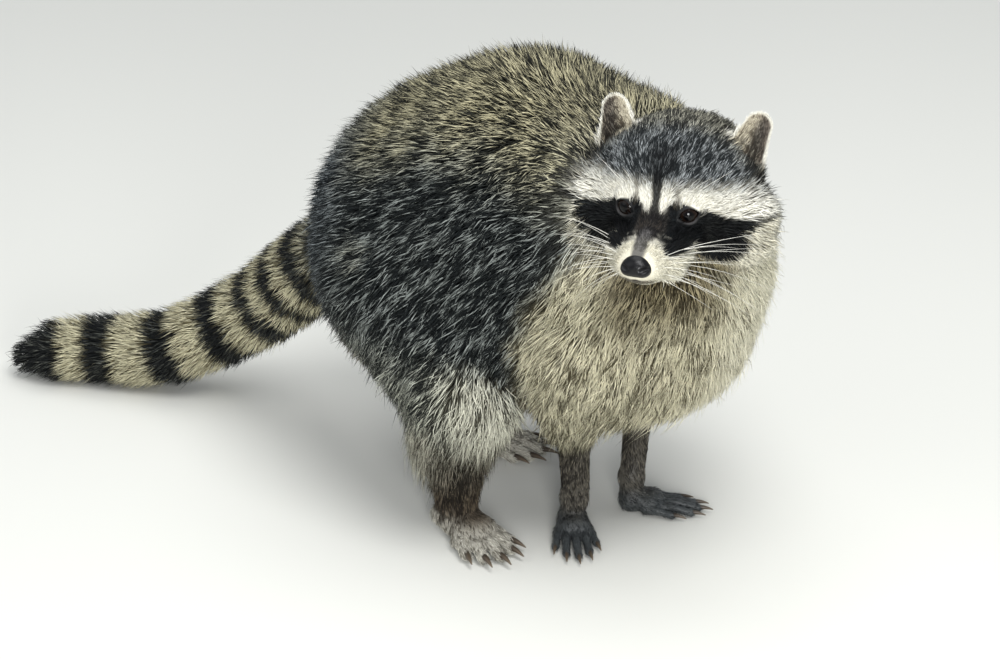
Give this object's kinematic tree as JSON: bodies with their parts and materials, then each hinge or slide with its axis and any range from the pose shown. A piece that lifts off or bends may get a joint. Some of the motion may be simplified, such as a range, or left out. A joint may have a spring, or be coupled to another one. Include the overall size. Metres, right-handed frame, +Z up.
{
  "type": "raccoon",
  "caption": "Life-size raccoon standing hunched on gathered feet, its head turned to its right and its ringed tail lying out behind.",
  "frame": {"origin": "under the middle of the whole animal's box, tail included, on the floor that it stands on", "axes": "+Z up; the body faces -Y, its left side is +X, and the tail lies along +Y"},
  "size_m": [0.2892, 0.7154, 0.372],
  "materials": {
    "coat": "long grizzled fur, pale tips over a dark brown-black ground",
    "tail_coat": "bushy fur in dark and pale buff rings",
    "leg_coat": "short dark brown fur lying flat",
    "foot": "very short whitish fur over dark skin",
    "hand": "bare black skin, slightly glossy",
    "nose": "moist black pebbled skin",
    "eye": "dark brown, wet and glossy",
    "claw": "brown horn, semi-matt"
  },
  "bodies": {
    "root": {"head": "coat", "neck": "coat", "trunk": "coat", "nose": "nose", "tail_root": "tail_coat", "tail_middle": "tail_coat", "tail_tip": "tail_coat", "eye_left": "eye", "ear_left": "coat", "thigh_left": "coat", "shank_left": "leg_coat", "foot_left": "foot", "upper_foreleg_left": "coat", "forearm_left": "leg_coat", "hand_left": "hand", "claw_hand_left_1": "claw", "claw_hand_left_2": "claw", "claw_hand_left_3": "claw", "claw_hand_left_4": "claw", "claw_hand_left_5": "claw", "claw_foot_left_1": "claw", "claw_foot_left_2": "claw", "claw_foot_left_3": "claw", "claw_foot_left_4": "claw", "claw_foot_left_5": "claw", "eye_right": "eye", "ear_right": "coat", "thigh_right": "coat", "shank_right": "leg_coat", "foot_right": "foot", "upper_foreleg_right": "coat", "forearm_right": "leg_coat", "hand_right": "hand", "claw_hand_right_1": "claw", "claw_hand_right_2": "claw", "claw_hand_right_3": "claw", "claw_hand_right_4": "claw", "claw_hand_right_5": "claw", "claw_foot_right_1": "claw", "claw_foot_right_2": "claw", "claw_foot_right_3": "claw", "claw_foot_right_4": "claw", "claw_foot_right_5": "claw"}
  },
  "joints": []
}
